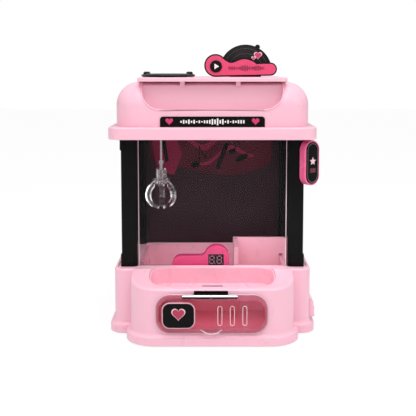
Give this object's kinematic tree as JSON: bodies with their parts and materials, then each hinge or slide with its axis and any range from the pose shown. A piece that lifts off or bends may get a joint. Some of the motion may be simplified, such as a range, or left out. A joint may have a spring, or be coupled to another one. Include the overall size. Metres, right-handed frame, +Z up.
{
  "type": "toy claw crane machine",
  "caption": "Toy claw crane machine with a clear cabinet, domed roof with a hinged lid, geared gantry claw, console and prize flap door.",
  "frame": {"origin": "on the table under the middle of the machine, at the bottom of its rubber feet", "axes": "+Z up, +X to the right seen from the front, the prize door faces -Y"},
  "size_m": [0.2788, 0.2584, 0.3838],
  "materials": {
    "shell_pink": "glossy moulded light pink plastic",
    "inner_pink": "glossy pink plastic",
    "hot_pink": "glossy hot pink plastic",
    "black_plastic": "satin black plastic",
    "dark_panel": "opaque dark panel",
    "clear_pane": "clear polycarbonate",
    "clear_door": "clear moulded plastic",
    "claw_clear": "clear moulded plastic",
    "chrome": "polished",
    "steel": "drawn steel",
    "rubber": "soft rubber",
    "board_green": "solder-masked board",
    "brass": "stamped brass",
    "card": "printed card",
    "white_plastic": "white acetal",
    "cord_white": "twisted cord",
    "cell_wrap": "shrink wrap",
    "display_black": "tinted window"
  },
  "bodies": {
    "cabinet": {"back_panel": "dark_panel", "backdrop_card": "card", "base_shell": "shell_pink", "battery_box": "black_plastic", "battery_cells": "cell_wrap", "battery_door": "shell_pink", "bottom_plate": "shell_pink", "case_screws": "steel", "chute_guard": "inner_pink", "corner_posts": "black_plastic", "deck_pocket": "inner_pink", "display_housing": "hot_pink", "display_module": "display_black", "door_hinge": "chrome", "front_pane": "clear_pane", "lid_hinge_pins": "steel", "main_board": "board_green", "outlet_box": "inner_pink", "pit_tray": "inner_pink", "post_sockets": "black_plastic", "power_sockets": "black_plastic", "rack_and_brackets": "white_plastic", "roof_dome": "shell_pink", "roof_frame": "shell_pink", "rubber_feet": "rubber", "side_panes": "clear_pane", "side_rails": "steel", "speaker": "black_plastic", "star_bezel": "shell_pink", "switch_pod": "shell_pink", "title_plate": "black_plastic"},
    "lid": {"top_lid": "shell_pink", "sign_bar": "hot_pink", "sign_backing": "black_plastic", "sign_record": "black_plastic", "sign_play_disc": "black_plastic"},
    "disc": {"record_disc": "black_plastic"},
    "door": {"prize_door": "clear_door", "door_badge": "black_plastic", "door_knuckles": "chrome"},
    "star_button": {"star_cap": "black_plastic"},
    "slider": {"power_slider": "black_plastic"},
    "bridge": {"bridge_ends": "white_plastic", "bridge_beams": "steel", "cross_rack": "white_plastic", "bridge_motor": "steel"},
    "bridge_gear": {"bridge_pinion": "brass"},
    "trolley": {"trolley_frame": "white_plastic", "trolley_motors": "steel"},
    "trolley_gear": {"trolley_pinion": "brass"},
    "drum": {"winch_drum": "white_plastic", "winch_cord_wraps": "cord_white"},
    "winch_gear": {"winch_pinion": "brass"},
    "claw": {"claw_hub": "claw_clear", "claw_pins": "steel", "hoist_cord": "cord_white"},
    "finger_1": {"claw_finger_1": "claw_clear"},
    "finger_2": {"claw_finger_2": "claw_clear"},
    "finger_3": {"claw_finger_3": "claw_clear"},
    "plunger": {"claw_plunger": "white_plastic"}
  },
  "joints": [
    {"name": "lid_hinge", "type": "hinge", "parent": "cabinet", "child": "lid", "pos_m": [0, 0.091, 0.337], "axis": [-1, 0, 0], "range_deg": [0, 100]},
    {"name": "disc_turn", "type": "hinge", "parent": "lid", "child": "disc", "pos_m": [-0.0597, -0.023, 0.339], "axis": [0, 0, 1], "continuous": true},
    {"name": "door_hinge", "type": "hinge", "parent": "cabinet", "child": "door", "pos_m": [-0.003, -0.1276, 0.0653], "axis": [-1, 0, 0], "range_deg": [0, 85]},
    {"name": "star_press", "type": "slide", "parent": "cabinet", "child": "star_button", "axis": [-0.5736, 0.8192, 0], "range_m": [0, 0.0012], "stiffness_N_per_m": 400},
    {"name": "power_slide", "type": "slide", "parent": "cabinet", "child": "slider", "axis": [0, 1, 0], "range_m": [0, 0.0044]},
    {"name": "bridge_slide", "type": "slide", "parent": "cabinet", "child": "bridge", "axis": [0, 1, 0], "range_m": [-0.002, 0.073]},
    {"name": "bridge_gear_turn", "type": "hinge", "parent": "bridge", "child": "bridge_gear", "pos_m": [-0.121, 0.01, 0.2858], "axis": [1, 0, 0], "range_deg": [-900, 30]},
    {"name": "trolley_slide", "type": "slide", "parent": "bridge", "child": "trolley", "axis": [1, 0, 0], "range_m": [-0.005, 0.137]},
    {"name": "trolley_gear_turn", "type": "hinge", "parent": "trolley", "child": "trolley_gear", "pos_m": [-0.06, 0.01, 0.277], "axis": [0, 0, 1], "range_deg": [-65, 1645]},
    {"name": "hoist", "type": "slide", "parent": "trolley", "child": "claw", "axis": [0, 0, -1], "range_m": [0, 0.1], "deforming": ["hoist_cord"]},
    {"name": "drum_turn", "type": "hinge", "parent": "trolley", "child": "drum", "pos_m": [-0.0641, -0.014, 0.286], "axis": [0, 1, 0], "range_deg": [-885, 5]},
    {"name": "winch_gear_turn", "type": "hinge", "parent": "trolley", "child": "winch_gear", "pos_m": [-0.0487, -0.004, 0.286], "axis": [0, 1, 0], "range_deg": [-5, 2360]},
    {"name": "finger_1_open", "type": "hinge", "parent": "claw", "child": "finger_1", "pos_m": [-0.0706, -0.0055, 0.1945], "axis": [1, 0, 0], "range_deg": [0, 25]},
    {"name": "finger_2_open", "type": "hinge", "parent": "claw", "child": "finger_2", "pos_m": [-0.07796, -0.01825, 0.1945], "axis": [-0.5, 0.866, 0], "range_deg": [0, 25]},
    {"name": "finger_3_open", "type": "hinge", "parent": "claw", "child": "finger_3", "pos_m": [-0.06324, -0.01825, 0.1945], "axis": [-0.5, -0.866, 0], "range_deg": [0, 25]},
    {"name": "plunger_slide", "type": "slide", "parent": "claw", "child": "plunger", "axis": [0, 0, -1], "range_m": [0, 0.0027]}
  ],
  "couplings": [
    {"joint": "bridge_gear_turn", "follows": "bridge_slide", "rad_per_m": -208.33},
    {"joint": "trolley_gear_turn", "follows": "trolley_slide", "rad_per_m": 208.33},
    {"joint": "drum_turn", "follows": "hoist", "rad_per_m": -153.85},
    {"joint": "winch_gear_turn", "follows": "hoist", "rad_per_m": 410.26},
    {"joint": "finger_2_open", "follows": "finger_1_open", "ratio": 1},
    {"joint": "finger_3_open", "follows": "finger_1_open", "ratio": 1},
    {"joint": "plunger_slide", "follows": "finger_1_open", "m_per_rad": 0.006}
  ]
}
